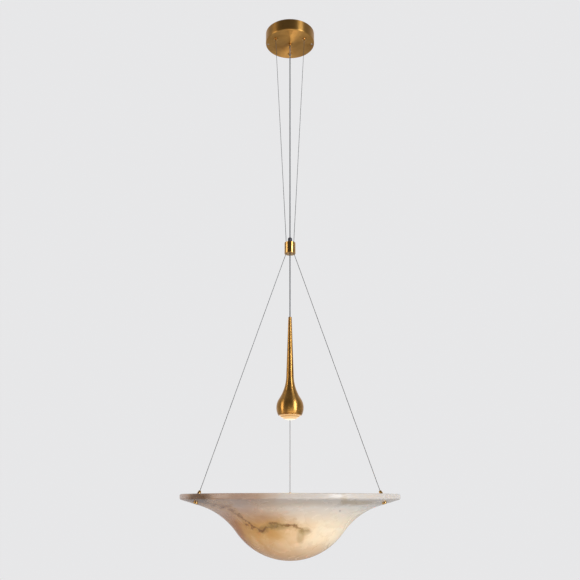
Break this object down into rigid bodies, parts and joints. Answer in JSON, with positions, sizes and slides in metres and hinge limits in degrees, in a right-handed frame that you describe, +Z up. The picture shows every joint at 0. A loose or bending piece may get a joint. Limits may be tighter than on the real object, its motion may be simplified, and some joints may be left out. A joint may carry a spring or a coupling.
{
  "type": "pendant light",
  "caption": "Pendant light: round ceiling canopy, cables gathered by a collar, veined bowl shade with a flared rim and a teardrop spot that hangs inside the cables.",
  "frame": {"origin": "middle of the ceiling face, on the axis of the canopy", "axes": "+Z up to the ceiling, -Y to the front, with one cable at the back and two at the front left and right"},
  "size_m": [0.5, 0.5, 1.369],
  "materials": {
    "satin_brass": "satin, spun and turned",
    "polished_brass": "polished",
    "screw_steel": "plated",
    "plate_steel": "zinc plated",
    "steel_cable": "stranded",
    "cord_sheath": "matt grey sheath",
    "wire_insulation": "smooth",
    "white_plastic": "fine grain",
    "gland_plastic": "matt",
    "cast_aluminium": "turned",
    "led_phosphor": "smooth",
    "reflector_metal": "bright",
    "lens_glass": "frosted inside",
    "soft_washer": "soft silicone",
    "veined_acrylic": "satin, veined like alabaster"
  },
  "bodies": {
    "ceiling_set": {"ceiling_plate": "plate_steel", "canopy": "satin_brass", "canopy_standoffs": "screw_steel", "canopy_screws": "screw_steel", "led_driver": "white_plastic", "driver_screws": "screw_steel", "terminal_block": "white_plastic", "terminal_screws": "screw_steel", "earth_screw": "screw_steel", "supply_leads": "wire_insulation", "cord_tail": "cord_sheath", "cord_grip": "polished_brass", "cord_grip_nut": "screw_steel", "gripper_body_left": "polished_brass", "gripper_body_right": "polished_brass", "gripper_body_back": "polished_brass", "gripper_nuts": "screw_steel", "cable_tails": "steel_cable"},
    "gripper_nose_left": {"gripper_plunger_left": "polished_brass", "gripper_balls_left": "screw_steel", "gripper_spring_left": "screw_steel"},
    "gripper_nose_right": {"gripper_plunger_right": "polished_brass", "gripper_balls_right": "screw_steel", "gripper_spring_right": "screw_steel"},
    "gripper_nose_back": {"gripper_plunger_back": "polished_brass", "gripper_balls_back": "screw_steel", "gripper_spring_back": "screw_steel"},
    "upper_hang": {"upper_cable_left": "steel_cable", "upper_cable_right": "steel_cable", "upper_cable_back": "steel_cable", "upper_cord": "cord_sheath", "collar": "polished_brass", "collar_grub_screws": "screw_steel", "collar_gland_base": "gland_plastic", "collar_gland_cap": "gland_plastic"},
    "shade_hang": {"lower_cable_left": "steel_cable", "lower_cable_right": "steel_cable", "lower_cable_back": "steel_cable", "shade": "veined_acrylic", "rim_bushes": "polished_brass", "rim_top_washers": "soft_washer", "rim_bottom_washers": "soft_washer", "cable_stops": "polished_brass"},
    "spot_hang": {"spot_cord": "cord_sheath"},
    "spot": {"spot_tip_bush": "satin_brass", "spot_body": "satin_brass", "spot_cord_end": "cord_sheath", "spot_cord_stop": "screw_steel", "spot_heat_sink": "cast_aluminium", "led_board": "cast_aluminium", "led_chip": "led_phosphor", "led_board_screws": "screw_steel", "led_leads": "wire_insulation", "spot_reflector": "reflector_metal", "lens_gasket": "soft_washer", "spot_lens": "lens_glass", "spot_bezel": "satin_brass"}
  },
  "joints": [
    {"name": "hang_sway", "type": "hinge", "parent": "ceiling_set", "child": "upper_hang", "pos_m": [0, 0, -0.03425], "axis": [0, 1, 0], "range_deg": [-5, 5]},
    {"name": "shade_sway", "type": "hinge", "parent": "upper_hang", "child": "shade_hang", "pos_m": [0, 0, -0.644], "axis": [1, 0, 0], "range_deg": [-4, 4]},
    {"name": "spot_sway", "type": "hinge", "parent": "upper_hang", "child": "spot_hang", "pos_m": [0, 0, -0.6425], "axis": [0, 1, 0], "range_deg": [-8, 8]},
    {"name": "spot_tilt", "type": "hinge", "parent": "spot_hang", "child": "spot", "pos_m": [0, 0, -0.809], "axis": [1, 0, 0], "range_deg": [-8, 8]},
    {"name": "gripper_release_left", "type": "slide", "parent": "ceiling_set", "child": "gripper_nose_left", "axis": [0, 0, 1], "range_m": [0, 0.0015], "stiffness_N_per_m": 300, "springref_m": -0.002, "deforming": ["gripper_spring_left"]},
    {"name": "gripper_release_right", "type": "slide", "parent": "ceiling_set", "child": "gripper_nose_right", "axis": [0, 0, 1], "range_m": [0, 0.0015], "stiffness_N_per_m": 300, "springref_m": -0.002, "deforming": ["gripper_spring_right"]},
    {"name": "gripper_release_back", "type": "slide", "parent": "ceiling_set", "child": "gripper_nose_back", "axis": [0, 0, 1], "range_m": [0, 0.0015], "stiffness_N_per_m": 300, "springref_m": -0.002, "deforming": ["gripper_spring_back"]}
  ]
}
